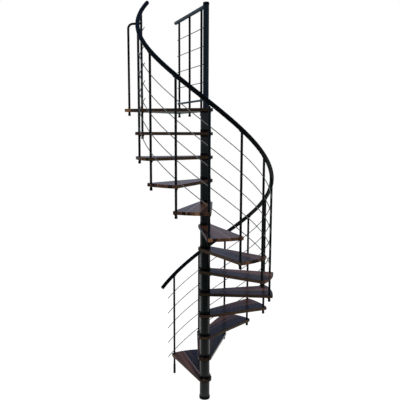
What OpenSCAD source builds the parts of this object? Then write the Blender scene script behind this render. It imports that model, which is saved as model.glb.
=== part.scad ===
// Modular spiral staircase: a steel centre pole threaded through twelve timber treads and a
// landing, with a helical guard of slim balusters, thin infill rods and a round handrail.
// The pole axis is the Z axis and the finished floor is z = 0. Azimuths are measured
// anticlockwise from +X, seen from above; the stair climbs clockwise.

/* [Stair] */
// Number of treads below the landing
tread_count = 12; // [10:1:13]
// Height of one rise
rise = 225; // [210:1:235]
// Angle turned by one rise
step_angle = 26.2; // [24:0.1:28]
// Azimuth of the first baluster, at the nose of the first tread
first_azimuth = 122.4; // [0:0.1:360]

/* [Treads] */
// Radius of the outer edge of the treads
tread_r = 671; // [640:1:700]
// Thickness of treads and landing
tread_t = 30; // [26:1:40]
// Radius of the rounded hub end
hub_r = 70; // [64:1:80]
// Radius of the corners of treads and landing
corner_r = 16; // [8:1:18]
// Timber left beside a baluster, from its axis to the long edge
edge_cover = 19; // [15:1:26]

/* [Centre pole] */
// Radius of the inner pole, which runs on as the newel post of the landing
pole_r = 27.5; // [24:0.5:30]
// Wall of the inner pole
pole_wall = 4; // [3:0.5:6]
// Height of the newel post above the landing
newel_h = 969; // [900:1:1000]
// Radius of the cap on the newel post
cap_r = 29; // [28:0.5:34]
// Height of the cap on the newel post
cap_h = 25; // [10:1:30]
// Outer radius of the spacer tubes
spacer_r = 50; // [45:1:55]
// Wall of the spacer tubes
spacer_wall = 3; // [2:0.5:5]
// Outer radius of the clamping rings
ring_r = 52; // [50:1:60]
// Height of the ring on top of each tread
upper_ring_h = 25; // [10:1:30]
// Height of the ring under each tread
lower_ring_h = 14; // [6:1:20]
// Outer radius of the ring that stands on the floor
base_ring_r = 54.5; // [52:0.5:60]
// Height of the ring that stands on the floor
base_ring_h = 28; // [25:1:45]

/* [Balusters] */
// Radius of the circle on which the balusters stand
guard_r = 636; // [610:1:660]
// Radius of a baluster
baluster_r = 11; // [9:0.5:12]
// Length of a baluster below the tread it hangs from, end cap included
baluster_tail = 39; // [25:1:60]
// Radius of the end cap under a baluster
end_cap_r = 13; // [11.5:0.5:16]
// Height of the end cap
end_cap_h = 22; // [12:1:26]
// Radius of the floor sleeve of the first baluster
floor_sleeve_r = 13; // [11.5:0.5:20]
// Height of the floor sleeve
floor_sleeve_h = 106; // [60:1:140]
// Radius of the quarter-round clamps under the treads, beside the balusters
clamp_r = 20; // [16:0.5:24]
// Height of these clamps
clamp_h = 16; // [10:1:16]

/* [Handrail] */
// Radius of the handrail
rail_r = 20; // [17:0.5:22]
// Height of the handrail axis above the nose of a tread
rail_h = 919; // [880:1:980]
// Angle that the handrail runs on below the first baluster
rail_low_overrun = 14.5; // [8:0.5:20]
// Angle that the handrail runs on past the last baluster
rail_top_overrun = 14; // [8:0.5:20]
// Facets round the handrail
rail_sides = 16; // [8:4:16]

/* [Infill] */
// Number of infill rods
rod_count = 5; // [3:1:5]
// Radius of an infill rod
rod_r = 4; // [2:0.5:5]
// Height of the lowest rod above the nose of a tread
rod_first_h = 47; // [30:1:60]
// Spacing of the rods
rod_pitch = 169; // [150:1:175]
// Angle that the rods run on past the end balusters
rod_overrun = 7.3; // [4:0.1:9]
// Facets round an infill rod
rod_sides = 6; // [6:2:8]

/* [Landing] */
// Azimuth of the landing's guard
landing_guard_azimuth = 113; // [110:0.5:120]
// Distance from the pole axis to the outer corner beside the last baluster
landing_nose_r = 815; // [790:1:830]
// Distance from the pole axis to the outer corner under the guard
landing_back_r = 766; // [750:1:790]
// Height of the landing rail axis above the landing
landing_rail_h = 938; // [900:1:980]
// Radius of the landing rail
landing_rail_r = 18; // [15:0.5:22]
// Distance from the pole axis to the end of the landing rail
landing_rail_end = 854; // [800:1:900]
// Height of the bottom bar above the landing
bottom_bar_h = 79; // [60:1:100]
// Radius of the bottom bar
bottom_bar_r = 10; // [5:0.5:11]
// Height of the lowest landing rod above the landing
landing_rod_first_h = 246; // [200:1:260]
// Spacing of the landing rods
landing_rod_pitch = 168; // [150:1:175]
// Number of landing rods
landing_rod_count = 4; // [3:1:4]

/* [Closing tube] */
// Distance from the pole axis to the closing tube
closing_r = 768; // [750:1:775]
// Height of its top run above the landing
closing_h = 805; // [780:1:830]
// Radius of the tube
closing_tube_r = 11; // [9:0.5:12]
// Radius of its bend
closing_bend_r = 45; // [35:1:60]

/* [Hidden] */
fit = 0.25;
landing_top = (tread_count + 1) * rise;
pole_top = landing_top + newel_h;
slope = atan(rise / (guard_r * step_angle * PI / 180));
last_baluster = tread_count + 1;
// Azimuths of the landing's nose edge and of its guard
nose_az = first_azimuth - tread_count * step_angle + 360;
guard_az = landing_guard_azimuth;
// Timber beside the landing's guard, from the balusters' axis to the back edge
back_cover = 25;
// Distances from the pole axis to the balusters of the landing's guard
landing_baluster_places = [112, 423, 728];
// Distances from the pole axis to the ends of the landing's rods and bottom bar
landing_rod_end = 785;
landing_bar_end = 764;
// Baluster over which the two lengths of the handrail meet
rail_joint = 7;
// Thickness of the bottom of an end cap, and of the bottom of the base ring
cup_floor = 6;
// Radii of the rounded edges of the turned pieces
base_edge_r = 2;
cap_edge_r = 4;
// Angle that a clamp spans, from the direction of the pole to the tread's outer edge
clamp_span = 100;
// Size of the saddles under the handrail
saddle_t = 3;
saddle_w = 18;
saddle_len = 30;

// Azimuth of baluster k, which stands at the nose of tread k
function baluster_az(k) = first_azimuth - (k - 1) * step_angle;
// Height of the top of tread k
function tread_top(k) = k * rise;
// Height of a helical member h above the nose line, at azimuth az
function helix_z(az, h) = rise + h + (first_azimuth - az) / step_angle * rise;
function polar(r, az) = [r * cos(az), r * sin(az)];
// Points of an arc of radius r about the point c, from azimuth a0 to azimuth a1
function arc(c, r, a0, a1, steps) = [for (i = [0 : steps]) c + polar(r, a0 + (a1 - a0) * i / steps)];
// Azimuth of the normal of a tangent shared by the hub circle and the corner circle with centre c;
// side is 1 on the anticlockwise side of the corner and -1 on the other
function tangent_az(c, side) = atan2(c[1], c[0]) + side * acos((hub_r - corner_r) / norm(c));

module ring(outer_r, inner_r, h, z) {
    translate([0, 0, z])
        difference() {
            cylinder(r = outer_r, h = h, $fn = 96);
            translate([0, 0, -1])
                cylinder(r = inner_r, h = h + 2, $fn = 96);
        }
}

// A turned cup with a closed bottom and outer edges of radius edge
module cup(outer_r, inner_r, h, edge) {
    rotate_extrude($fn = 96)
        polygon(concat(
            [[0, 0]],
            arc([outer_r - edge, edge], edge, -90, 0, 6),
            arc([outer_r - edge, h - edge], edge, 0, 90, 6),
            [[inner_r, h], [inner_r, cup_floor], [0, cup_floor]]
        ));
}

// Ring on the floor, closed at the bottom, that carries the pole
module base_ring() {
    color("#15181a")
        cup(base_ring_r, pole_r + fit, base_ring_h, base_edge_r);
}

module centre_pole() {
    color("#1c262c")
        ring(pole_r, pole_r - pole_wall, pole_top - cap_h - cup_floor, cup_floor);
}

// Cap with a rounded upper edge that closes the newel post
module pole_cap() {
    color("#101214")
        translate([0, 0, pole_top - cap_h])
            rotate_extrude($fn = 96)
                polygon(concat(
                    [[0, 0], [cap_r, 0]],
                    arc([cap_r - cap_edge_r, cap_h - cap_edge_r], cap_edge_r, 0, 90, 6),
                    [[0, cap_h]]
                ));
}

// One tube between two treads, or between the floor ring and the first tread
module spacer(k) {
    bottom = k == 1 ? base_ring_h : tread_top(k - 1) + upper_ring_h;
    top = tread_top(k) - tread_t - lower_ring_h;
    ring(spacer_r, spacer_r - spacer_wall, top - bottom, bottom);
}

module spacer_tubes() {
    color("#20292e")
        for (k = [1 : tread_count + 1]) spacer(k);
}

module clamp_rings() {
    color("#101214") {
        for (k = [1 : tread_count + 1])
            ring(ring_r, pole_r + fit, lower_ring_h, tread_top(k) - tread_t - lower_ring_h);
        for (k = [1 : tread_count])
            ring(ring_r, pole_r + fit, upper_ring_h, tread_top(k));
    }
}

// Outline of a tread along +X: a round hub, two straight edges tangent to it, two rounded
// corners and an outer edge that is an arc about the pole
module tread_outline() {
    d = tread_r - corner_r;
    half = step_angle / 2 + asin((edge_cover - corner_r) / d);
    normal = tangent_az(polar(d, half), 1);
    polygon(concat(
        arc([0, 0], hub_r, normal, 360 - normal, 36),
        arc(polar(d, -half), corner_r, -normal, -half, 8),
        arc([0, 0], tread_r, -half, half, 12),
        arc(polar(d, half), corner_r, half, normal, 8)
    ));
}

module tread(k) {
    color(k % 2 == 0 ? "#5a3d2c" : "#4c3226")
        translate([0, 0, tread_top(k) - tread_t])
            difference() {
                rotate([0, 0, baluster_az(k) - step_angle / 2])
                    linear_extrude(height = tread_t)
                        tread_outline();
                translate([0, 0, -1])
                    cylinder(r = pole_r + fit, h = tread_t + 2, $fn = 96);
                for (b = [k, k + 1])
                    rotate([0, 0, baluster_az(b)])
                        translate([guard_r, 0, -1])
                            cylinder(r = baluster_r + fit, h = tread_t + 2, $fn = 48);
            }
}

// Outline of the landing: the hub, a long nose edge that covers the last baluster, an outer
// edge that meets the upper floor, and a back edge under the landing's guard
module landing_outline() {
    nose_corner = polar(landing_nose_r - corner_r, nose_az) + polar(edge_cover - corner_r, nose_az + 90);
    back_corner = polar(landing_back_r - corner_r, guard_az) + polar(back_cover - corner_r, guard_az - 90);
    across = nose_corner - back_corner;
    nose_normal = tangent_az(nose_corner, 1);
    back_normal = tangent_az(back_corner, -1);
    outer_normal = atan2(-across[0], across[1]);
    polygon(concat(
        arc([0, 0], hub_r, nose_normal, back_normal + 360, 36),
        arc(back_corner, corner_r, back_normal, outer_normal, 8),
        arc(nose_corner, corner_r, outer_normal, nose_normal, 8)
    ));
}

// A hole through the landing at distance r and azimuth az
module landing_hole(r, az, hole_r) {
    translate([r * cos(az), r * sin(az), -1])
        cylinder(r = hole_r, h = tread_t + 2, $fn = 48);
}

module landing() {
    color("#4c3226")
        translate([0, 0, landing_top - tread_t])
            difference() {
                linear_extrude(height = tread_t)
                    landing_outline();
                landing_hole(0, 0, pole_r + fit);
                landing_hole(guard_r, nose_az, baluster_r + fit);
                landing_hole(closing_r, nose_az, closing_tube_r + fit);
                for (p = landing_baluster_places)
                    landing_hole(p, guard_az, baluster_r + fit);
            }
}

// Frame at baluster k whose origin is on the handrail axis and whose -Y points up the rail
module at_rail(k) {
    rotate([0, 0, baluster_az(k)])
        translate([guard_r, 0, helix_z(baluster_az(k), rail_h)])
            rotate([-slope, 0, 0])
                children();
}

// A baluster from its foot to the handrail, drilled for the infill rods, with a sloping top
module baluster(k) {
    bottom = k == 1 ? 0 : tread_top(k - 1) - tread_t - baluster_tail + cup_floor;
    color("#14181b")
        difference() {
            translate([guard_r * cos(baluster_az(k)), guard_r * sin(baluster_az(k)), bottom])
                cylinder(r = baluster_r, h = helix_z(baluster_az(k), rail_h) - bottom, $fn = 48);
            at_rail(k)
                translate([-20, -60, -rail_r - saddle_t])
                    cube([40, 120, 80]);
            rotate([0, 0, baluster_az(k)])
                for (i = [0 : rod_count - 1])
                    translate([guard_r, 0, tread_top(k) + rod_first_h + i * rod_pitch])
                        rotate([90 - slope, 0, 0])
                            cylinder(r = rod_r + 0.5, h = 60, center = true, $fn = 24);
        }
}

// A saddle between a baluster and the handrail, hollowed to fit under the rail
module rail_saddles() {
    color("#101214")
        for (k = [1 : last_baluster])
            at_rail(k)
                difference() {
                    translate([-saddle_w / 2, -saddle_len / 2, -rail_r - saddle_t])
                        cube([saddle_w, saddle_len, saddle_t + 3]);
                    rotate([90, 0, 0])
                        cylinder(r = rail_r + fit, h = saddle_len + 2, center = true, $fn = 64);
                }
}

// A cup that closes the lower end of a baluster
module end_cap(r, az, z) {
    translate([r * cos(az), r * sin(az), z])
        cup(end_cap_r, baluster_r + fit, end_cap_h, end_cap_r - baluster_r - fit);
}

module baluster_feet() {
    color("#0d0f10") {
        translate([guard_r * cos(first_azimuth), guard_r * sin(first_azimuth), 0])
            ring(floor_sleeve_r, baluster_r + fit, floor_sleeve_h, 0);
        for (k = [2 : last_baluster])
            end_cap(guard_r, baluster_az(k), tread_top(k - 1) - tread_t - baluster_tail);
        for (p = landing_baluster_places)
            end_cap(p, guard_az, landing_top - tread_t - baluster_tail);
        end_cap(closing_r, nose_az, landing_top - tread_t - baluster_tail);
    }
}

// A quarter-round clamp under tread k beside baluster b, thinner towards its lower end
module tread_clamp(k, b) {
    start = b == k ? 180 - clamp_span : 180;
    translate([0, 0, tread_top(k) - tread_t])
        rotate([0, 0, baluster_az(b)])
            translate([guard_r, 0, 0])
                rotate([0, 0, start])
                    rotate_extrude(angle = clamp_span, $fn = 48)
                        polygon([
                            [baluster_r + fit, 0],
                            [baluster_r + fit, -clamp_h],
                            [end_cap_r, -clamp_h],
                            [clamp_r, 0]
                        ]);
}

module tread_clamps() {
    color("#0d0f10") {
        for (k = [1 : last_baluster]) tread_clamp(k, k);
        for (k = [1 : tread_count]) tread_clamp(k, k + 1);
    }
}

// Ring of points round a helical member of height h and radius r, at azimuth az
function helix_ring(az, h, r, sides) = [
    for (j = [0 : sides - 1])
        let (a = 360 * (j + 0.5) / sides, across = r * cos(a), up = r * sin(a))
            [
                (guard_r + across) * cos(az) - up * sin(slope) * sin(az),
                (guard_r + across) * sin(az) + up * sin(slope) * cos(az),
                helix_z(az, h) + up * cos(slope)
            ]
];

// A round bar bent to the guard's helix, from azimuth az0 down to az1, with flat ends
module helix_bar(h, r, sides, az0, az1, pitch) {
    n = ceil((az0 - az1) / pitch);
    points = [
        for (i = [0 : n])
            each helix_ring(az0 + (az1 - az0) * i / n, h, r, sides)
    ];
    sleeve = [
        for (i = [0 : n - 1], j = [0 : sides - 1])
            let (next = (j + 1) % sides)
                [i * sides + j, (i + 1) * sides + j, (i + 1) * sides + next, i * sides + next]
    ];
    low_end = [for (j = [0 : sides - 1]) j];
    top_end = [for (j = [sides - 1 : -1 : 0]) n * sides + j];
    polyhedron(points = points, faces = concat(sleeve, [low_end, top_end]), convexity = 6);
}

// The two lengths of the handrail, which meet end to end above a baluster
module handrail_length(az0, az1) {
    color("#232c33")
        helix_bar(rail_h, rail_r, rail_sides, az0, az1, 3);
}

module handrail_lower() {
    handrail_length(first_azimuth + rail_low_overrun, baluster_az(rail_joint));
}

module handrail_upper() {
    handrail_length(baluster_az(rail_joint), baluster_az(last_baluster) - rail_top_overrun);
}

module infill_rod(i) {
    color("#8a8f92")
        helix_bar(rod_first_h + (i - 1) * rod_pitch, rod_r, rod_sides,
            first_azimuth + rod_overrun, baluster_az(last_baluster) - rod_overrun, 3.5);
}

// A level bar of the landing's guard, from the newel post out to distance r_end
module guard_bar(r, z, r_end) {
    rotate([0, 0, guard_az])
        difference() {
            translate([0, 0, z])
                rotate([0, 90, 0])
                    cylinder(r = r, h = r_end, $fn = 48);
            translate([0, 0, z - 50])
                cylinder(r = pole_r + fit, h = 100, $fn = 96);
        }
}

module landing_rail() {
    z = landing_top + landing_rail_h;
    color("#33424b") {
        guard_bar(landing_rail_r, z, landing_rail_end - landing_rail_r);
        rotate([0, 0, guard_az])
            translate([landing_rail_end - landing_rail_r, 0, z])
                sphere(r = landing_rail_r, $fn = 48);
    }
}

module landing_bar() {
    color("#3a4c57")
        guard_bar(bottom_bar_r, landing_top + bottom_bar_h, landing_bar_end);
}

module landing_rods() {
    color("#8a8f92")
        for (i = [0 : landing_rod_count - 1])
            guard_bar(rod_r, landing_top + landing_rod_first_h + i * landing_rod_pitch,
                landing_rod_end);
}

module landing_balusters() {
    bottom = landing_top - tread_t - baluster_tail + cup_floor;
    z_rail = landing_top + landing_rail_h;
    color("#14181b")
        difference() {
            for (p = landing_baluster_places)
                translate([p * cos(guard_az), p * sin(guard_az), bottom])
                    cylinder(r = baluster_r, h = z_rail - bottom, $fn = 48);
            rotate([0, 0, guard_az]) {
                translate([0, 0, z_rail])
                    rotate([0, 90, 0])
                        cylinder(r = landing_rail_r + fit, h = landing_rail_end, $fn = 48);
                translate([0, 0, landing_top + bottom_bar_h])
                    rotate([0, 90, 0])
                        cylinder(r = bottom_bar_r + fit, h = landing_rail_end, $fn = 48);
                for (i = [0 : landing_rod_count - 1])
                    translate([0, 0, landing_top + landing_rod_first_h + i * landing_rod_pitch])
                        rotate([0, 90, 0])
                            cylinder(r = rod_r + 0.5, h = landing_rail_end, $fn = 24);
            }
        }
}

// A tube that rises beside the last baluster and bends over to it
module closing_tube() {
    bottom = landing_top - tread_t - baluster_tail + cup_floor;
    bend_z = landing_top + closing_h - closing_bend_r;
    color("#14181b")
        rotate([0, 0, nose_az])
            difference() {
                union() {
                    translate([closing_r, 0, bottom])
                        cylinder(r = closing_tube_r, h = bend_z - bottom, $fn = 48);
                    translate([closing_r - closing_bend_r, 0, bend_z])
                        rotate([90, 0, 0])
                            rotate_extrude(angle = 90, $fn = 96)
                                translate([closing_bend_r, 0])
                                    circle(r = closing_tube_r, $fn = 48);
                    translate([guard_r, 0, landing_top + closing_h])
                        rotate([0, 90, 0])
                            cylinder(r = closing_tube_r, h = closing_r - closing_bend_r - guard_r,
                                $fn = 48);
                }
                translate([guard_r, 0, landing_top + closing_h - 30])
                    cylinder(r = baluster_r + fit, h = 60, $fn = 48);
            }
}

base_ring();
centre_pole();
pole_cap();
spacer_tubes();
clamp_rings();
tread(1);  // tread_01
tread(2);  // tread_02
tread(3);  // tread_03
tread(4);  // tread_04
tread(5);  // tread_05
tread(6);  // tread_06
tread(7);  // tread_07
tread(8);  // tread_08
tread(9);  // tread_09
tread(10);  // tread_10
tread(11);  // tread_11
tread(12);  // tread_12
landing();
baluster(1);  // baluster_01
baluster(2);  // baluster_02
baluster(3);  // baluster_03
baluster(4);  // baluster_04
baluster(5);  // baluster_05
baluster(6);  // baluster_06
baluster(7);  // baluster_07
baluster(8);  // baluster_08
baluster(9);  // baluster_09
baluster(10);  // baluster_10
baluster(11);  // baluster_11
baluster(12);  // baluster_12
baluster(13);  // baluster_13
baluster_feet();
tread_clamps();
rail_saddles();
handrail_lower();
handrail_upper();
infill_rod(1);  // infill_rod_1
infill_rod(2);  // infill_rod_2
infill_rod(3);  // infill_rod_3
infill_rod(4);  // infill_rod_4
infill_rod(5);  // infill_rod_5
landing_balusters();
landing_rail();
landing_bar();
landing_rods();
closing_tube();
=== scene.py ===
import math
import bpy
import numpy as np
from mathutils import Matrix, Vector
from mathutils.geometry import tessellate_polygon


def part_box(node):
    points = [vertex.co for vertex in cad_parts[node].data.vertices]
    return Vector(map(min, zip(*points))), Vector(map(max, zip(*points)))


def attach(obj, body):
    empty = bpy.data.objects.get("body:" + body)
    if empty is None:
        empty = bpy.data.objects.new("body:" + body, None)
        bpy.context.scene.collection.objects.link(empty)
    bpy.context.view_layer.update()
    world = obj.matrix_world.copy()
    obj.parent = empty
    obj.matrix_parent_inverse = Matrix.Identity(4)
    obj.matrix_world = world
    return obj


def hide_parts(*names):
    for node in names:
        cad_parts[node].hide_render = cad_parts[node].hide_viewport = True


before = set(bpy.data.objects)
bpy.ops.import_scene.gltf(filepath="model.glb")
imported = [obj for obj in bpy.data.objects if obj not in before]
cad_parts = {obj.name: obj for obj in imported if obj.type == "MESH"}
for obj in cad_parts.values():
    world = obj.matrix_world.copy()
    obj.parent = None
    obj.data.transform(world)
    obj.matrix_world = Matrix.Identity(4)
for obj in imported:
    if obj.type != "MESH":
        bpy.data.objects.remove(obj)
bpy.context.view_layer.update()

# ---------------------------------------------------------------------------------------------
# Camera. It stands level with the top treads, nearly five metres in front of the pole, and looks
# a little downwards, so that the lower treads show their tops and the landing its edge.
# ---------------------------------------------------------------------------------------------
camera_place = (0.0, -4.930, 2.6936)
camera_turn = math.radians(0.6076)
camera_tilt = math.radians(90 - 7.510)
camera_roll = math.radians(0.153)

camera_data = bpy.data.cameras.new("camera")
camera_data.sensor_width = 36.0
camera_data.lens = 45.92
camera = bpy.data.objects.new("camera", camera_data)
camera.matrix_world = (
    Matrix.Translation(camera_place)
    @ Matrix.Rotation(camera_turn, 4, "Z")
    @ Matrix.Rotation(camera_tilt, 4, "X")
    @ Matrix.Rotation(camera_roll, 4, "Z")
)
bpy.context.scene.collection.objects.link(camera)
bpy.context.scene.camera = camera
bpy.context.scene.view_settings.view_transform = "Standard"


# ---------------------------------------------------------------------------------------------
# Floor, room and lamps. A pale floor that keeps a soft shadow, a white room for the camera, and
# for everything else a dim studio whose walls are palest near the horizon.
# ---------------------------------------------------------------------------------------------
def add(tree, kind, inputs=None, **settings):
    """Adds a node, gives it its settings, and fills or links its inputs by name or number."""
    made = tree.nodes.new(kind)
    for key, value in settings.items():
        setattr(made, key, value)
    for key, value in (inputs or {}).items():
        if isinstance(value, bpy.types.NodeSocket):
            tree.links.new(value, made.inputs[key])
        else:
            made.inputs[key].default_value = value
    return made


def blend_colours(tree, factor, first, second, mode="MIX"):
    """Output of a colour mix: the first colour where the factor is 0, the second where it is 1."""
    made = add(tree, "ShaderNodeMix", data_type="RGBA", blend_type=mode)
    for number, value in ((0, factor), (6, first), (7, second)):
        if isinstance(value, bpy.types.NodeSocket):
            tree.links.new(value, made.inputs[number])
        else:
            made.inputs[number].default_value = value
    return made.outputs[2]


def colour_steps(tree, factor, stops, interpolation="LINEAR"):
    """Output of a colour ramp with the given stops, each a position and a linear colour."""
    ramp = add(tree, "ShaderNodeValToRGB", {"Fac": factor})
    ramp.color_ramp.interpolation = interpolation
    elements = ramp.color_ramp.elements
    while len(elements) < len(stops):
        elements.new(0.5)
    for element, (position, colour) in zip(elements, stops):
        element.position = position
        element.color = (*colour, 1.0)
    return ramp.outputs["Color"]


floor_half = 14.0
floor_mesh = bpy.data.meshes.new("floor")
floor_mesh.from_pydata(
    [(-floor_half, -floor_half, 0), (floor_half, -floor_half, 0),
     (floor_half, floor_half, 0), (-floor_half, floor_half, 0)],
    [], [(0, 1, 2, 3)],
)
floor = bpy.data.objects.new("floor", floor_mesh)
bpy.context.scene.collection.objects.link(floor)

floor_glow = 0.90
floor_material = bpy.data.materials.new("pale_floor")
floor_material.use_nodes = True
tree = floor_material.node_tree
tree.nodes.clear()
rays = add(tree, "ShaderNodeLightPath")
lit = add(tree, "ShaderNodeBsdfDiffuse", {"Color": (0.80, 0.80, 0.80, 1)})
glow = add(tree, "ShaderNodeEmission", {"Color": (1, 1, 1, 1), "Strength": 1.1})
seen = add(tree, "ShaderNodeMixShader", {0: floor_glow, 1: lit.outputs[0], 2: glow.outputs[0]})
# For glossy rays the floor glows with painted light, pale round the stair, and with painted shade, dim well
# in front of it and behind it
floor_place = add(tree, "ShaderNodeTexCoord").outputs["Object"]
floor_way = add(tree, "ShaderNodeSeparateXYZ", {0: floor_place}).outputs["Y"]
floor_reach = add(tree, "ShaderNodeMapRange", {"Value": floor_way, "From Min": -3.0, "From Max": 7.0})
paleness = colour_steps(tree, floor_reach.outputs[0], [
    (0.04, (0.07, 0.08, 0.08)),
    (0.14, (0.22, 0.23, 0.23)),
    (0.24, (0.33, 0.34, 0.33)),
    (0.36, (0.85, 0.85, 0.83)),
    (0.44, (0.85, 0.87, 0.87)),
    (0.52, (0.26, 0.29, 0.30)),
    (0.62, (0.11, 0.125, 0.13)),
])
painted_floor_glow = add(tree, "ShaderNodeEmission", {"Color": paleness})
mirrored = add(
    tree, "ShaderNodeMixShader",
    {0: rays.outputs["Is Glossy Ray"], 1: lit.outputs[0], 2: painted_floor_glow.outputs[0]},
)
floor_mix = add(
    tree, "ShaderNodeMixShader",
    {0: rays.outputs["Is Camera Ray"], 1: mirrored.outputs[0], 2: seen.outputs[0]},
)
add(tree, "ShaderNodeOutputMaterial", {"Surface": floor_mix.outputs[0]})
floor.data.materials.append(floor_material)

# Room colours by height of the direction: level in the middle, straight up at the end
room_steps = [
    (0.480, (0.20, 0.23, 0.23)),
    (0.515, (0.42, 0.45, 0.51)),
    (0.550, (0.42, 0.44, 0.53)),
    (0.595, (0.23, 0.24, 0.33)),
    (0.663, (0.062, 0.086, 0.150)),
    (0.727, (0.060, 0.078, 0.145)),
    (0.850, (0.07, 0.13, 0.26)),
    (1.000, (0.10, 0.20, 0.40)),
]
world = bpy.data.worlds.new("studio")
world.use_nodes = True
bpy.context.scene.world = world
tree = world.node_tree
tree.nodes.clear()
rays = add(tree, "ShaderNodeLightPath")
heading = add(tree, "ShaderNodeTexCoord")
direction = add(tree, "ShaderNodeSeparateXYZ", {0: heading.outputs["Generated"]})
height = add(tree, "ShaderNodeMapRange", {
    "Value": direction.outputs["Z"], "From Min": -1.0, "From Max": 1.0})
room = colour_steps(tree, height.outputs[0], room_steps)
diffuse_room = (0.42, 0.43, 0.45, 1)
lighting = blend_colours(tree, rays.outputs["Is Glossy Ray"], diffuse_room, room)
shown = blend_colours(tree, rays.outputs["Is Camera Ray"], lighting, (1, 1, 1, 1))
background = add(tree, "ShaderNodeBackground", {"Color": shown, "Strength": 1.0})
add(tree, "ShaderNodeOutputWorld", {"Surface": background.outputs[0]})


def lamp(name, place, aim, size, power, colour):
    """A square area lamp at a place, turned so that it faces the aim point."""
    data = bpy.data.lights.new(name, "AREA")
    data.shape = "SQUARE"
    data.size = size
    data.energy = power
    data.color = colour
    made = bpy.data.objects.new(name, data)
    toward = Vector(aim) - Vector(place)
    made.matrix_world = Matrix.Translation(place) @ toward.to_track_quat("-Z", "Y").to_matrix().to_4x4()
    bpy.context.scene.collection.objects.link(made)
    return made


stair_middle = (0.0, 0.0, 1.8)
key_lamp = lamp("key_lamp", (5.2, -3.6, 4.4), stair_middle, 2.4, 240, (1.0, 0.97, 0.92))
key_lamp.visible_glossy = False
fill_lamp = lamp("fill_lamp", (-5.0, -2.5, 3.0), stair_middle, 3.0, 150, (0.97, 0.98, 1.0))
fill_lamp.visible_glossy = False
back_lamp = lamp("back_lamp", (-2.5, 4.5, 6.0), stair_middle, 3.0, 160, (0.95, 0.98, 1.0))
back_lamp.visible_glossy = False


# ---------------------------------------------------------------------------------------------
# Base ring, centre pole and cap. The pole is one steel tube that stands in a moulded ring on the
# floor, is coated nearly black, and ends in a pressed-in cap above the landing.
# ---------------------------------------------------------------------------------------------
def socket_of(tree, side, name, kind, value=None):
    """Adds a named input or output to a shader group."""
    made = tree.interface.new_socket(name=name, in_out=side, socket_type=kind)
    if value is not None:
        made.default_value = value
    return made


def calculate(tree, operation, first, second=0.0, third=0.0):
    """Output of a maths node."""
    return add(tree, "ShaderNodeMath", {0: first, 1: second, 2: third}, operation=operation).outputs[0]


def coat_texture():
    """Group for sprayed and moulded finishes: fine orange peel for the bump, broad cloudiness for
    the roughness, and thin dust that gathers on faces that look up."""
    tree = bpy.data.node_groups.new("coat_texture", "ShaderNodeTree")
    socket_of(tree, "INPUT", "Roughness", "NodeSocketFloat", 0.3)
    socket_of(tree, "INPUT", "Cloudiness", "NodeSocketFloat", 0.1)
    socket_of(tree, "INPUT", "Peel Scale", "NodeSocketFloat", 350.0)
    socket_of(tree, "INPUT", "Dust", "NodeSocketFloat", 0.1)
    socket_of(tree, "OUTPUT", "Roughness", "NodeSocketFloat")
    socket_of(tree, "OUTPUT", "Height", "NodeSocketFloat")
    socket_of(tree, "OUTPUT", "Dust", "NodeSocketFloat")
    given = add(tree, "NodeGroupInput").outputs
    place = add(tree, "ShaderNodeTexCoord").outputs["Object"]
    peel = add(tree, "ShaderNodeTexNoise", {"Vector": place, "Scale": given["Peel Scale"], "Detail": 2.0})
    clouds = add(tree, "ShaderNodeTexNoise", {"Vector": place, "Scale": 7.0, "Detail": 5.0})
    specks = add(tree, "ShaderNodeTexNoise", {"Vector": place, "Scale": 90.0, "Detail": 4.0})
    spread = calculate(tree, "MULTIPLY_ADD", clouds.outputs[0], given["Cloudiness"], given["Roughness"])
    up = add(tree, "ShaderNodeSeparateXYZ", {0: add(tree, "ShaderNodeNewGeometry").outputs["Normal"]})
    facing = add(tree, "ShaderNodeMapRange", {"Value": up.outputs["Z"], "From Min": 0.4, "From Max": 1.0})
    patchy = calculate(tree, "MULTIPLY", specks.outputs[0], clouds.outputs[0])
    settled = calculate(tree, "MULTIPLY", facing.outputs[0], patchy)
    dusty = calculate(tree, "MULTIPLY", settled, given["Dust"])
    rough = calculate(tree, "MULTIPLY_ADD", dusty, 0.8, spread)
    add(tree, "NodeGroupOutput", {"Roughness": rough, "Height": peel.outputs[0], "Dust": dusty})
    return tree


coat_group = coat_texture()
dust_colour = (0.32, 0.31, 0.29, 1)


def coated(name, colour, roughness, cloudiness, peel_scale, peel_depth, dust, **constants):
    """Material of a sprayed or moulded piece. The constants are set on the shader's own sockets."""
    made = bpy.data.materials.new(name)
    made.use_nodes = True
    tree = made.node_tree
    shader = tree.nodes["Principled BSDF"]
    texture = add(tree, "ShaderNodeGroup", node_tree=coat_group)
    for key, value in (("Roughness", roughness), ("Cloudiness", cloudiness),
                       ("Peel Scale", peel_scale), ("Dust", dust)):
        texture.inputs[key].default_value = value
    tint = blend_colours(tree, texture.outputs["Dust"], (*colour, 1), dust_colour)
    bump = add(tree, "ShaderNodeBump", {"Height": texture.outputs["Height"], "Distance": peel_depth,
                                        "Strength": 0.6})
    tree.links.new(tint, shader.inputs["Base Color"])
    tree.links.new(texture.outputs["Roughness"], shader.inputs["Roughness"])
    tree.links.new(bump.outputs[0], shader.inputs["Normal"])
    for key, value in constants.items():
        shader.inputs[key.replace("_", " ")].default_value = value
    return made


def dress(node, material):
    """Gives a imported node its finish."""
    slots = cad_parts[node].data.materials
    slots.clear()
    slots.append(material)


pole_finish = coated("pole_coating", (0.0030, 0.0078, 0.0135), 0.30, 0.06, 320, 0.00003, 0.03,
                     Specular_IOR_Level=0.20)
fitting_finish = coated("black_moulding", (0.0008, 0.0010, 0.0010), 0.40, 0.10, 700, 0.00003, 0.02,
                        Specular_IOR_Level=0.12)
dress("base_ring", fitting_finish)
dress("centre_pole", pole_finish)
dress("pole_cap", fitting_finish)

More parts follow.
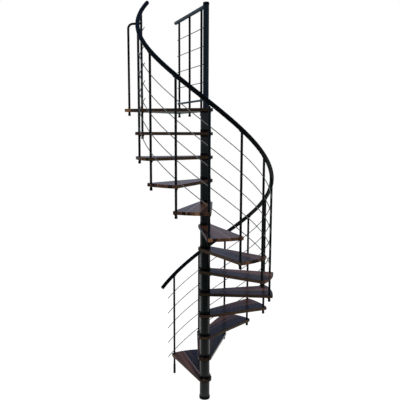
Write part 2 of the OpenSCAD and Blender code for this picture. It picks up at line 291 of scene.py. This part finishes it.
# ---------------------------------------------------------------------------------------------
# Spacer tubes. Larger steel tubes threaded on the pole hold the treads one rise apart. They have
# a smooth semi-gloss coating that is nearly black, and mirror the room along both their sides.
# ---------------------------------------------------------------------------------------------
spacer_finish = coated("spacer_coating", (0.0008, 0.0020, 0.0022), 0.16, 0.05, 260, 0.00002, 0.02,
                       Specular_IOR_Level=0.5)
dress("spacer_tubes", spacer_finish)


# ---------------------------------------------------------------------------------------------
# Clamp rings. Moulded black rings above and below every tread hub pass the load from one spacer
# to the next. Each is turned with small rounded edges.
# ---------------------------------------------------------------------------------------------
def grid_quads(rows, columns, first=0, closed=False):
    """Quads of a grid of points stored row by row, closed round each row, and closed from the last
    row back to the first as well where closed is true."""
    row = np.arange(rows if closed else rows - 1)[:, None]
    column = np.arange(columns)[None, :]
    following = (row + 1) % rows
    beside = (column + 1) % columns
    quads = np.stack([row * columns + column, row * columns + beside,
                      following * columns + beside, following * columns + column], axis=-1)
    return quads.reshape(-1, 4) + first


def new_piece(name, points, faces, material, slot, *nodes):
    """A smooth-shaded mesh piece that rides on the stair and stands for the named nodes."""
    mesh = bpy.data.meshes.new(name)
    corner_lists = [list(face) for block in faces for face in block.tolist()]
    mesh.from_pydata(points.reshape(-1, 3).tolist(), [], corner_lists)
    mesh.polygons.foreach_set("use_smooth", np.ones(len(mesh.polygons), dtype=bool))
    mesh.materials.append(material)
    mesh.update()
    made = bpy.data.objects.new(name, mesh)
    bpy.context.scene.collection.objects.link(made)
    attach(made, "root")
    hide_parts(*nodes)
    return made


def turned(profile, sides):
    """Points of a surface of revolution: each profile point (radius, height) goes once round Z."""
    around = np.linspace(0, 2 * math.pi, sides, endpoint=False)
    radius = profile[:, 0, None]
    height = np.broadcast_to(profile[:, 1, None], (len(profile), sides))
    return np.stack([radius * np.cos(around), radius * np.sin(around), height], axis=-1)


def rounded_ring(inner, outer, low, high, edge, steps=4):
    """Closed profile of a ring: a rectangle from inner to outer and low to high, with its two outer
    corners rounded to the radius edge by quarter circles and with holding points on the flats."""
    bend = np.linspace(0, math.pi / 2, steps + 1)
    lower = np.stack([outer - edge + edge * np.sin(bend), low + edge - edge * np.cos(bend)], axis=-1)
    upper = np.stack([outer - edge + edge * np.cos(bend), high - edge + edge * np.sin(bend)], axis=-1)
    hold = 0.2 * edge
    bore = [[outer - edge - hold, high], [inner + hold, high], [inner, high - hold],
            [inner, low + hold], [inner + hold, low], [outer - edge - hold, low]]
    return np.concatenate([lower, upper, np.array(bore)])


pole_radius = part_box("centre_pole")[1].x
ring_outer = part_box("clamp_rings")[1].x
ring_bore = pole_radius + 0.0004
ring_edge = 0.0015
upper_ring_height = 0.025
lower_ring_height = 0.014
tread_names = [f"tread_{number:02d}" for number in range(1, 13)]
board_spans = [(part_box(name)[0].z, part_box(name)[1].z) for name in tread_names + ["landing"]]

ring_spans = [(low - lower_ring_height, low) for low, high in board_spans]
ring_spans += [(high, high + upper_ring_height) for low, high in board_spans[:-1]]
ring_sides = 96
ring_points = []
ring_faces = []
for low, high in ring_spans:
    points = turned(rounded_ring(ring_bore, ring_outer, low, high, ring_edge), ring_sides)
    first = len(ring_points) * len(points) * ring_sides
    ring_faces.append(grid_quads(len(points), ring_sides, first=first, closed=True))
    ring_points.append(points)
new_piece("clamp_rings_turned", np.concatenate(ring_points), ring_faces, fitting_finish,
          "black_fittings", "clamp_rings")


# ---------------------------------------------------------------------------------------------
# Treads. Each is a board glued up from dark hardwood staves that run from the hub to the outer
# edge, with its edges rounded over and three bored holes, under a clear high-gloss lacquer.
# ---------------------------------------------------------------------------------------------
def arc(centre, radius, start, end, steps):
    """Arc of a circle as complex numbers: a row of points, and the direction of each from the
    centre, at evenly spaced angles from start to end."""
    outward = np.exp(1j * np.linspace(start, end, steps + 1))
    return np.stack([centre + radius * outward, outward])


def hole(centre, radius, steps=48):
    """Rim of a bored hole, run clockwise, with directions that point into the hole."""
    rim = arc(centre, radius, 2 * math.pi, 0, steps)[:, :-1]
    rim[1] *= -1
    return rim


def board(rims, edges, low, high):
    """Points, normals and faces of a flat board between two heights. Each rim is swept up the board
    along a profile that is vertical in the middle and a quarter circle of the given edge radius at
    the bottom and the top, where it draws in by that radius. The flats are filled between rims."""
    bend = np.linspace(0, math.pi / 2, 6)
    points, normals, faces = [], [], []
    for (rim, outward), edge in zip(rims, edges):
        inset = edge * np.concatenate([1 - np.sin(bend), 1 - np.cos(bend)])
        height = np.concatenate([low + edge * (1 - np.cos(bend)), high - edge * (1 - np.sin(bend))])
        tilt = np.concatenate([bend - math.pi / 2, bend])
        flat = rim[None, :] - inset[:, None] * outward[None, :]
        turned_out = np.cos(tilt)[:, None] * outward[None, :]
        faces.append(grid_quads(len(inset), len(rim), first=sum(len(block) for block in points)))
        level = np.broadcast_to(height[:, None], flat.shape)
        rise_of_normal = np.broadcast_to(np.sin(tilt)[:, None], flat.shape)
        points.append(np.stack([flat.real, flat.imag, level], -1).reshape(-1, 3))
        normals.append(np.stack([turned_out.real, turned_out.imag, rise_of_normal], -1).reshape(-1, 3))
    starts = np.cumsum([0] + [len(block) for block in points])
    all_points = np.concatenate(points)
    for upward in (False, True):
        loops = [np.arange(len(rim)) + (end - len(rim) if upward else start)
                 for (rim, _), start, end in zip(rims, starts[:-1], starts[1:])]
        corners = np.concatenate(loops)
        fill = np.array(tessellate_polygon([[Vector(all_points[i]) for i in loop] for loop in loops]))
        triangles = corners[fill]
        a, b, c = (all_points[triangles[:, i], :2] for i in range(3))
        area = np.cross(b - a, c - a)
        wrong = (area > 0) != upward
        triangles[wrong] = triangles[wrong][:, ::-1]
        faces.append(triangles[np.abs(area) > 1e-12])
    return all_points, np.concatenate(normals), faces


# The boards lie this far apart, in metres, in the timber that their figure is cut from
board_step = 4.0


def new_board(name, shape, turn, number, pale_place, paleness, warm_shift, material, slot, node):
    """A board piece turned about the pole to its own azimuth. Its attribute board_place keeps the
    places before the turn: along, with the board's number as steps of board_step, across, counted from
    the pale strip in the board, and up. Its attribute board_across keeps the place across from the
    middle, moved towards the nose by the board's warm shift, and board_strip how far the pale strip
    stands out from the flats."""
    points, normals, faces = shape
    spin = np.array(Matrix.Rotation(turn, 3, "Z"))
    made = new_piece(name, points @ spin.T, faces, material, slot, node)
    made.data.normals_split_custom_set_from_vertices((normals @ spin.T).tolist())
    places = points + (board_step * number, -pale_place, 0.0)
    attribute = made.data.attributes.new("board_place", "FLOAT_VECTOR", "POINT")
    attribute.data.foreach_set("vector", places.astype(np.float32).ravel())
    attribute = made.data.attributes.new("board_across", "FLOAT", "POINT")
    attribute.data.foreach_set("value", (points[:, 1] + warm_shift).astype(np.float32))
    attribute = made.data.attributes.new("board_strip", "FLOAT", "POINT")
    attribute.data.foreach_set("value", np.full(len(points), paleness, dtype=np.float32))
    return made


stave_pick = 11.3


def timber_texture():
    """Group for boards glued up from staves that run along the board. Each stave of each board has
    its own tone, long soft streaks and fine dark pores follow the grain, one narrow pale strip runs
    the whole way, and the tops grow redder towards the nose; their near-black rear is partly the
    staves' tone and partly painted shade under the tread above. Strip is how far the pale strip stands
    out from the flats. Side is 0 on the flats and 1 on the sanded edges, which show browner timber
    and the blocks of the stave ends, with painted shade on the long sides round the hub."""
    tree = bpy.data.node_groups.new("timber_texture", "ShaderNodeTree")
    socket_of(tree, "INPUT", "Place", "NodeSocketVector")
    socket_of(tree, "INPUT", "Across", "NodeSocketFloat", 0.0)
    socket_of(tree, "INPUT", "Strip", "NodeSocketFloat", 1.0)
    socket_of(tree, "INPUT", "Half Width", "NodeSocketFloat", 0.14)
    socket_of(tree, "INPUT", "Stave Width", "NodeSocketFloat", 0.038)
    socket_of(tree, "OUTPUT", "Color", "NodeSocketColor")
    socket_of(tree, "OUTPUT", "Side", "NodeSocketFloat")
    socket_of(tree, "OUTPUT", "Roughness", "NodeSocketFloat")
    socket_of(tree, "OUTPUT", "Height", "NodeSocketFloat")
    given = add(tree, "NodeGroupInput").outputs
    place = add(tree, "ShaderNodeSeparateXYZ", {0: given["Place"]}).outputs
    normal = add(tree, "ShaderNodeSeparateXYZ", {0: add(tree, "ShaderNodeNewGeometry").outputs["Normal"]})
    tilt = calculate(tree, "ABSOLUTE", normal.outputs["Z"])
    side = add(tree, "ShaderNodeMapRange", {"Value": tilt, "From Min": 0.95, "From Max": 0.55}).outputs[0]
    in_boards = calculate(tree, "DIVIDE", calculate(tree, "ADD", place["X"], 1.0), board_step)
    board = calculate(tree, "FLOOR", in_boards)
    across = calculate(tree, "DIVIDE", place["Y"], given["Stave Width"])
    stave = calculate(tree, "FLOOR", across)
    within = calculate(tree, "FRACT", across)
    pair = add(tree, "ShaderNodeCombineXYZ", {0: stave, 1: board, 2: stave_pick})
    tone = add(tree, "ShaderNodeTexWhiteNoise", {"Vector": pair.outputs[0]},
               noise_dimensions="3D").outputs["Value"]
    drift = calculate(tree, "MULTIPLY", tone, 9.0)
    grain_place = add(tree, "ShaderNodeCombineXYZ", {
        0: calculate(tree, "MULTIPLY", place["X"], 2.2),
        1: calculate(tree, "MULTIPLY_ADD", place["Y"], 60.0, drift),
        2: calculate(tree, "MULTIPLY", place["Z"], 60.0)})
    streaks = add(tree, "ShaderNodeTexNoise", {
        "Vector": grain_place.outputs[0], "Scale": 1.0, "Detail": 6.0, "Roughness": 0.62,
        "Distortion": 0.6}).outputs[0]
    pore_place = add(tree, "ShaderNodeVectorMath", {0: grain_place.outputs[0], 1: (7.0, 11.0, 11.0)},
                     operation="MULTIPLY")
    pores = add(tree, "ShaderNodeTexNoise", {
        "Vector": pore_place.outputs[0], "Scale": 1.0, "Detail": 3.0}).outputs[0]
    pore_mask = add(tree, "ShaderNodeMapRange", {
        "Value": pores, "From Min": 0.60, "From Max": 0.74}).outputs[0]
    streaked = calculate(tree, "SUBTRACT", streaks, 0.5)
    # Every top is nearly black along its rear edge and reddish brown from the middle to the nose: the dark
    # rear is partly the staves' tone and partly painted shade where the tread above overlaps it
    along = calculate(tree, "MULTIPLY_ADD", board, -board_step, place["X"])
    from_rear = calculate(tree, "MULTIPLY_ADD", along, 0.148, given["Across"])
    zone = add(tree, "ShaderNodeMapRange", {
        "Value": calculate(tree, "DIVIDE", from_rear, given["Half Width"]),
        "From Min": 0.16, "From Max": 0.80, "To Min": 0.20, "To Max": 0.68}).outputs[0]
    toned = calculate(tree, "MULTIPLY_ADD", calculate(tree, "SUBTRACT", tone, 0.5), 0.42, zone)
    warmth = calculate(tree, "MULTIPLY_ADD", streaked, 0.45, toned)
    flat_colour = colour_steps(tree, warmth, [
        (0.10, (0.0035, 0.0038, 0.0050)),
        (0.32, (0.0100, 0.0064, 0.0064)),
        (0.50, (0.0480, 0.0180, 0.0115)),
        (0.70, (0.1000, 0.0400, 0.0220)),
        (1.00, (0.1700, 0.0850, 0.0500)),
    ])
    # The stave ends make blocks of very different browns on the outer end of a board
    end_colour = colour_steps(tree, calculate(tree, "MULTIPLY_ADD", streaked, 0.30, tone), [
        (0.00, (0.0060, 0.0040, 0.0030)),
        (0.30, (0.0180, 0.0095, 0.0060)),
        (0.60, (0.0400, 0.0200, 0.0115)),
        (0.82, (0.0750, 0.0350, 0.0180)),
        (1.00, (0.1700, 0.0850, 0.0420)),
    ])
    # The long sides are one stave each: an even brown with streaks, darker round the hub as painted shade
    # beside the pole
    edge_tone = add(tree, "ShaderNodeTexWhiteNoise", {"W": board}, noise_dimensions="1D").outputs["Value"]
    hub = add(tree, "ShaderNodeMapRange", {"Value": along, "From Min": 0.30, "From Max": 0.06}).outputs[0]
    calmer = calculate(tree, "MULTIPLY_ADD", hub, -1.0, 1.3)
    half_tone = calculate(tree, "MULTIPLY", edge_tone, 0.5)
    side_warmth = calculate(tree, "MULTIPLY_ADD", streaked, calmer, half_tone)
    side_colour = colour_steps(tree, side_warmth, [
        (0.00, (0.0230, 0.0140, 0.0085)),
        (0.50, (0.0530, 0.0310, 0.0180)),
        (1.00, (0.0900, 0.0490, 0.0270)),
    ])
    # Painted shade: towards the hub the long sides are blended into a dark brown
    hub_shade = calculate(tree, "MULTIPLY", hub, 0.55)
    shaded_side = blend_colours(tree, hub_shade, side_colour, (0.009, 0.006, 0.003, 1))
    end = add(tree, "ShaderNodeMapRange", {"Value": along, "From Min": 0.640, "From Max": 0.652}).outputs[0]
    edge_colour = blend_colours(tree, end, shaded_side, end_colour)
    colour = blend_colours(tree, side, flat_colour, edge_colour)
    from_strip = calculate(tree, "ABSOLUTE", place["Y"])
    strip = add(tree, "ShaderNodeMapRange", {
        "Value": from_strip, "From Min": 0.0065, "From Max": 0.0045}).outputs[0]
    # Strip and glue lines show on the flats and on the outer end, and not along the long sides
    long_side = calculate(tree, "MULTIPLY", side, calculate(tree, "SUBTRACT", 1.0, end))
    crossing = calculate(tree, "SUBTRACT", 1.0, long_side)
    pore_shade = calculate(tree, "MULTIPLY", pore_mask, 0.45)
    darker = blend_colours(tree, pore_shade, colour, (0.006, 0.004, 0.003, 1))
    off_middle = calculate(tree, "ABSOLUTE", calculate(tree, "SUBTRACT", within, 0.5))
    seam = add(tree, "ShaderNodeMapRange", {
        "Value": off_middle, "From Min": 0.455, "From Max": 0.495}).outputs[0]
    seam_mask = calculate(tree, "MULTIPLY", calculate(tree, "MULTIPLY", seam, crossing), 0.45)
    seamed = blend_colours(tree, seam_mask, darker, (0.004, 0.003, 0.003, 1))
    standing_out = calculate(tree, "MULTIPLY", calculate(tree, "MAXIMUM", side, given["Strip"]), 0.9)
    strip_mask = calculate(tree, "MULTIPLY", calculate(tree, "MULTIPLY", strip, crossing), standing_out)
    strip_colour = blend_colours(tree, side, (0.330, 0.215, 0.180, 1), (0.130, 0.070, 0.040, 1))
    striped = blend_colours(tree, strip_mask, seamed, strip_colour)
    rough = calculate(tree, "MULTIPLY_ADD", streaks, 0.15, 0.35)
    relief = calculate(tree, "SUBTRACT", streaks, calculate(tree, "MULTIPLY", pore_mask, 0.3))
    add(tree, "NodeGroupOutput", {"Color": striped, "Side": side, "Roughness": rough, "Height": relief})
    return tree


timber_group = timber_texture()


def lacquered(name, stave_width, half_width):
    """Material of lacquered timber: the staves under a clear coat that mirrors the room, and that
    soaks in and stays thin round the edges."""
    made = bpy.data.materials.new(name)
    made.use_nodes = True
    tree = made.node_tree
    shader = tree.nodes["Principled BSDF"]
    texture = add(tree, "ShaderNodeGroup", node_tree=timber_group)
    place = add(tree, "ShaderNodeAttribute", attribute_name="board_place")
    across = add(tree, "ShaderNodeAttribute", attribute_name="board_across")
    tree.links.new(place.outputs["Vector"], texture.inputs["Place"])
    tree.links.new(across.outputs["Fac"], texture.inputs["Across"])
    strip = add(tree, "ShaderNodeAttribute", attribute_name="board_strip")
    tree.links.new(strip.outputs["Fac"], texture.inputs["Strip"])
    texture.inputs["Stave Width"].default_value = stave_width
    texture.inputs["Half Width"].default_value = half_width
    bump = add(tree, "ShaderNodeBump", {
        "Height": texture.outputs["Height"], "Distance": 0.00005, "Strength": 0.3})
    glance = add(tree, "ShaderNodeLayerWeight", {"Blend": 0.5}).outputs["Facing"]
    matt = add(tree, "ShaderNodeMapRange", {
        "Value": glance, "From Min": 0.85, "From Max": 0.60, "To Min": 0.0, "To Max": -0.92}).outputs[0]
    coat = calculate(tree, "MULTIPLY_ADD", texture.outputs["Side"], matt, 1.0)
    tree.links.new(texture.outputs["Color"], shader.inputs["Base Color"])
    tree.links.new(texture.outputs["Roughness"], shader.inputs["Roughness"])
    tree.links.new(coat, shader.inputs["Coat Weight"])
    tree.links.new(bump.outputs[0], shader.inputs["Normal"])
    for key, value in (("Coat Roughness", 0.27), ("Coat IOR", 1.5), ("Specular IOR Level", 0.05)):
        shader.inputs[key].default_value = value
    return made


def middle(node):
    """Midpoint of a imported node's box."""
    low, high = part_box(node)
    return np.array((low + high) / 2)


baluster_names = [f"baluster_{number:02d}" for number in range(1, 14)]
baluster_spots = np.array([middle(name) for name in baluster_names])
baluster_azimuths = np.unwrap(np.arctan2(baluster_spots[:, 1], baluster_spots[:, 0]))
guard_radius = np.hypot(baluster_spots[:, 0], baluster_spots[:, 1]).mean()
step_turn = -np.diff(baluster_azimuths).mean()
baluster_radius = (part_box("baluster_05")[1].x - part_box("baluster_05")[0].x) / 2
gap = 0.0003

tread_radius = 0.671
hub_radius = 0.070
corner_radius = 0.016
baluster_cover = 0.019
board_edge = 0.0035
bore_edge = 0.0008

corner_distance = tread_radius - corner_radius
half_turn = step_turn / 2 + math.asin((baluster_cover - corner_radius) / corner_distance)
side_normal = half_turn + math.acos((hub_radius - corner_radius) / corner_distance)
rear_corner = corner_distance * np.exp(-1j * half_turn)
nose_corner = corner_distance * np.exp(1j * half_turn)
tread_rim = np.concatenate([
    arc(0, hub_radius, side_normal, 2 * math.pi - side_normal, 60),
    arc(rear_corner, corner_radius, -side_normal, -half_turn, 14),
    arc(0, tread_radius, -half_turn, half_turn, 40)[:, 1:-1],
    arc(nose_corner, corner_radius, half_turn, side_normal, 14),
], axis=1)
tread_rims = [
    tread_rim,
    hole(0, pole_radius + gap, 72),
    hole(guard_radius * np.exp(1j * step_turn / 2), baluster_radius + gap),
    hole(guard_radius * np.exp(-1j * step_turn / 2), baluster_radius + gap),
]
tread_edges = [board_edge, bore_edge, bore_edge, bore_edge]
tread_finish = lacquered("lacquered_treads", 0.038, 0.150)
pale_places = [0.028, 0.020, 0.030, 0.024, 0.018, 0.030, -0.082, 0.030, -0.042, -0.021, 0.045, 0.010]
strip_paleness = [0.6, 0.3, 0.15, 0.15, 0.15, 0.2, 0.1, 1, 1, 0.4, 0.4, 0.4]
# Warm shifts move a board's dark rear, partly painted shade, back towards its rear edge
warm_shifts = [0, 0, 0, 0, 0, 0, 0, 0.12, 0.09, 0, 0, 0]
for number, name in enumerate(tread_names):
    shape = board(tread_rims, tread_edges, *board_spans[number])
    turn = (baluster_azimuths[number] + baluster_azimuths[number + 1]) / 2
    new_board(f"{name}_board", shape, turn, number, pale_places[number], strip_paleness[number],
              warm_shifts[number], tread_finish, "walnut", name)

# ---------------------------------------------------------------------------------------------
# Landing. A larger board of the same timber, screwed to the upper floor along its outer edge. Its
# nose carries the last baluster and the closing tube, and its back edge the level guard.
# ---------------------------------------------------------------------------------------------
nose_azimuth = baluster_azimuths[-1] + 2 * math.pi
guard_azimuth = math.radians(113.0)
nose_reach = 0.815
back_reach = 0.766
back_cover = 0.025
guard_baluster_reaches = [0.112, 0.423, 0.728]
closing_spot = middle("closing_tube")
closing_reach = 0.768

nose_way = np.exp(1j * nose_azimuth)
guard_way = np.exp(1j * guard_azimuth)
landing_nose = (nose_reach - corner_radius + 1j * (baluster_cover - corner_radius)) * nose_way
landing_back = (back_reach - corner_radius - 1j * (back_cover - corner_radius)) * guard_way
nose_normal = np.angle(landing_nose) + math.acos((hub_radius - corner_radius) / abs(landing_nose))
back_normal = np.angle(landing_back) - math.acos((hub_radius - corner_radius) / abs(landing_back))
outer_normal = np.angle((landing_nose - landing_back) * -1j)
landing_rim = np.concatenate([
    arc(0, hub_radius, nose_normal, back_normal + 2 * math.pi, 60),
    arc(landing_back, corner_radius, back_normal, outer_normal, 14),
    arc(landing_nose, corner_radius, outer_normal, nose_normal, 14),
], axis=1)
landing_holes = [guard_radius * nose_way, closing_reach * nose_way]
landing_holes += [reach * guard_way for reach in guard_baluster_reaches]
landing_rims = [landing_rim, hole(0, pole_radius + gap, 72)]
landing_rims += [hole(spot, baluster_radius + gap) for spot in landing_holes]
# The board is laid out along the line between its two guards, so its staves run that way
landing_turn = (nose_azimuth + guard_azimuth) / 2
landing_rims = [rim * np.exp(-1j * landing_turn) for rim in landing_rims]
landing_finish = lacquered("lacquered_landing", 0.038, 0.32)
shape = board(landing_rims, [board_edge] + [bore_edge] * 6, *board_spans[-1])
new_board("landing_board", shape, landing_turn, 12, 0.06, 0.4, 0, landing_finish, "walnut", "landing")

# ---------------------------------------------------------------------------------------------
# Balusters and their feet. Slim steel tubes, coated black, drop through the nose of one tread and
# the rear corner of the one below, and are closed with moulded caps. Quarter-round clamps grip
# them under the boards.
# ---------------------------------------------------------------------------------------------
baluster_finish = coated("baluster_coating", (0.0007, 0.0022, 0.0030), 0.36, 0.08, 420, 0.00002, 0.02,
                         Specular_IOR_Level=0.22)
for name in baluster_names:
    dress(name, baluster_finish)
dress("baluster_feet", fitting_finish)
dress("tread_clamps", fitting_finish)


# ---------------------------------------------------------------------------------------------
# Handrail. A round rail bent to the helix of the guard, in two lengths butted end to end, square
# at the foot of the stair and rounded at the top. Small black saddles join it to the balusters.
# ---------------------------------------------------------------------------------------------
def swept(path, upright, radii, sides):
    """Points of a round bar: at each path point a circle of that radius stands square to the path,
    which turns from the sideways direction given for that point towards the one square to both."""
    along = np.gradient(path, axis=0)
    along /= np.linalg.norm(along, axis=1, keepdims=True)
    aside = upright - np.sum(upright * along, axis=1, keepdims=True) * along
    aside /= np.linalg.norm(aside, axis=1, keepdims=True)
    third = np.cross(along, aside)
    turn = np.linspace(0, 2 * math.pi, sides, endpoint=False)[None, :, None]
    circle = np.cos(turn) * aside[:, None] + np.sin(turn) * third[:, None]
    return path[:, None] + radii[:, None, None] * circle


def closed_ends(rows, sides, first=0):
    """Faces that close both ends of a bar: a fan at each, about a point stored after the grid, the
    start's first and then the end's."""
    column = np.arange(sides)
    beside = (column + 1) % sides
    start = np.full(sides, rows * sides)
    last = (rows - 1) * sides
    fans = [np.stack([start, beside, column], -1), np.stack([start + 1, last + column, last + beside], -1)]
    return [fan + first for fan in fans]


def helix_bar(start, end, height, radius, start_edge, end_edge, sides, rows):
    """Points and faces of a bar on the guard's helix between two azimuths, its axis at the given
    height above the nose line. Its radius falls at each end along a quarter circle of the edge
    radius given for that end."""
    length_a_radian = math.hypot(guard_radius, rise / step_turn)
    bend = np.linspace(0, math.pi / 2, 7)
    inner = np.linspace(start - start_edge / length_a_radian, end + end_edge / length_a_radian, rows)
    low = start - start_edge * (1 - np.sin(bend[::-1]))[:-1] / length_a_radian
    top = end + end_edge * (1 - np.sin(bend))[1:] / length_a_radian
    azimuth = np.concatenate([low, inner, top])
    radii = np.concatenate([radius - start_edge * (1 - np.cos(bend[::-1]))[:-1], np.full(rows, radius),
                            radius - end_edge * (1 - np.cos(bend))[1:]])
    radii = np.maximum(radii, 1e-4)
    outward = np.stack([np.cos(azimuth), np.sin(azimuth), np.zeros_like(azimuth)], -1)
    path = guard_radius * outward
    path[:, 2] = nose_line + height + (baluster_azimuths[0] - azimuth) / step_turn * rise
    points = swept(path, outward, radii, sides)
    whole = np.concatenate([points.reshape(-1, 3), path[:1], path[-1:]])
    return whole, [grid_quads(len(path), sides)] + closed_ends(len(path), sides)


rise = board_spans[1][1] - board_spans[0][1]
nose_line = board_spans[0][1]
rail_height = 0.919
rail_radius = 0.020
rail_start = baluster_azimuths[0] + math.radians(14.5)
rail_end = baluster_azimuths[-1] - math.radians(14.0)
rail_finish = coated("rail_coating", (0.0006, 0.0014, 0.0016), 0.34, 0.08, 500, 0.00002, 0.02,
                     Specular_IOR_Level=0.16)
points, faces = helix_bar(rail_start, rail_end, rail_height, rail_radius, 0.0015, rail_radius, 40, 320)
new_piece("handrail_tube", points, faces, rail_finish, "handrail_coating",
          "handrail_lower", "handrail_upper")
dress("rail_saddles", fitting_finish)

# ---------------------------------------------------------------------------------------------
# Infill rods. Five thin stainless rods run through holes in the balusters from the bottom of the
# stair to the landing, evenly spaced under the handrail.
# ---------------------------------------------------------------------------------------------
rod_radius = 0.004
rod_overrun = math.radians(7.3)
rod_first_height = 0.047
rod_pitch = 0.169
rod_finish = coated("brushed_rod", (0.135, 0.140, 0.135), 0.45, 0.08, 900, 0.00001, 0.02, Metallic=0.25)
for number in range(5):
    points, faces = helix_bar(baluster_azimuths[0] + rod_overrun, baluster_azimuths[-1] - rod_overrun,
                              rod_first_height + number * rod_pitch, rod_radius, 0.0008, 0.0008, 12, 260)
    new_piece(f"infill_rod_{number + 1}_round", points, faces, rod_finish, "stainless_rod",
              f"infill_rod_{number + 1}")

# ---------------------------------------------------------------------------------------------
# Landing guard. Three short balusters carry a level rail with a domed end, a thin bar near the
# landing, and four more stainless rods.
# ---------------------------------------------------------------------------------------------
dress("landing_balusters", baluster_finish)
# Painted sheen: the landing rail and bar are coloured lighter blue-greys than the handrail, standing in for
# the bluish room that they mirror
landing_rail_sheen_finish = coated("landing_rail_painted_sheen", (0.030, 0.046, 0.058), 0.34, 0.08, 500, 0.00002,
                             0.02, Specular_IOR_Level=0.20)
landing_bar_sheen_finish = coated("landing_bar_painted_sheen", (0.042, 0.068, 0.088), 0.34, 0.08, 500, 0.00002,
                            0.02, Specular_IOR_Level=0.30)
dress("landing_rail", landing_rail_sheen_finish)
dress("landing_bar", landing_bar_sheen_finish)
dress("landing_rods", rod_finish)

# ---------------------------------------------------------------------------------------------
# Closing tube. One bent tube of the balusters' size rises from the outer corner of the landing
# and runs over to the last baluster, so that the gap beside the landing is closed.
# ---------------------------------------------------------------------------------------------
dress("closing_tube", baluster_finish)
